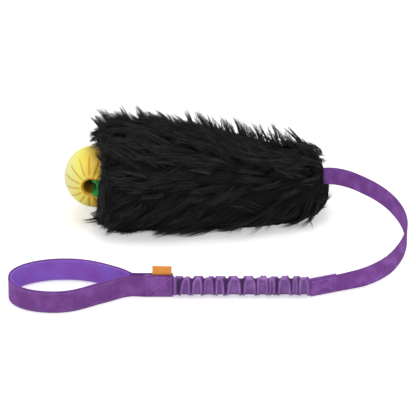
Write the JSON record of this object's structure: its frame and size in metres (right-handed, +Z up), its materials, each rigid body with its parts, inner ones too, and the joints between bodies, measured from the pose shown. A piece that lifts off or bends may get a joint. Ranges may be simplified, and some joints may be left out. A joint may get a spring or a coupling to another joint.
{
  "type": "bungee tug toy",
  "caption": "Pet tug toy: a grooved rubber ball on webbing in the mouth of a long-pile sleeve, with a flat webbing leash, a gathered bungee and a hand loop.",
  "frame": {"origin": "middle of the object without its leash, on the surface that it stands on", "axes": "+X from the ball along the pile sleeve to the leash, +Z up, -Y towards the bungee and hand loop"},
  "size_m": [0.4113, 0.2594, 0.1131],
  "materials": {
    "ball_rubber": "matte moulded",
    "green_webbing": "woven",
    "black_pile": "long pile",
    "backing_cloth": "knitted",
    "core_fleece": "fleece",
    "purple_webbing": "ribbed weave",
    "gathered_cloth": "gathered tubular webbing",
    "elastic": "braided",
    "orange_ribbon": "satin",
    "lining_cloth": "smooth knit"
  },
  "bodies": {
    "sleeve": {"fur_sleeve": "black_pile", "sleeve_lining": "backing_cloth", "mouth_hem": "backing_cloth", "fleece_core": "core_fleece", "inner_webbing": "purple_webbing", "end_binding": "backing_cloth", "ball_strap": "green_webbing"},
    "ball": {"ball": "ball_rubber"},
    "leash": {"leash": "purple_webbing", "leash_tail": "purple_webbing", "sleeve_tail_front": "gathered_cloth", "bungee_sleeve": "gathered_cloth", "bungee_elastic": "elastic"},
    "rear_block": {"sleeve_tail_rear": "gathered_cloth", "handle_tail_front": "purple_webbing", "handle_tail_back": "purple_webbing", "label": "orange_ribbon"},
    "hand_loop": {"handle_webbing": "purple_webbing", "handle_lining": "lining_cloth"}
  },
  "joints": [
    {"name": "ball_turn", "type": "hinge", "parent": "sleeve", "child": "ball", "pos_m": [-0.083, 0.0685, 0.047], "axis": [-0.1219, -0.9858, 0.1158], "continuous": true},
    {"name": "leash_swing", "type": "hinge", "parent": "sleeve", "child": "leash", "pos_m": [0.1575, 0.0685, 0.047], "axis": [0, 0, 1], "range_deg": [-5, 75]},
    {"name": "bungee_stretch", "type": "slide", "parent": "leash", "child": "rear_block", "axis": [-1, 0, 0], "range_m": [0, 0.12], "stiffness_N_per_m": 150, "deforming": ["bungee_sleeve", "bungee_elastic"]},
    {"name": "handle_swing", "type": "hinge", "parent": "rear_block", "child": "hand_loop", "pos_m": [-0.03155, -0.0955, 0.0125], "axis": [0, 0, 1], "range_deg": [-30, 60]}
  ]
}
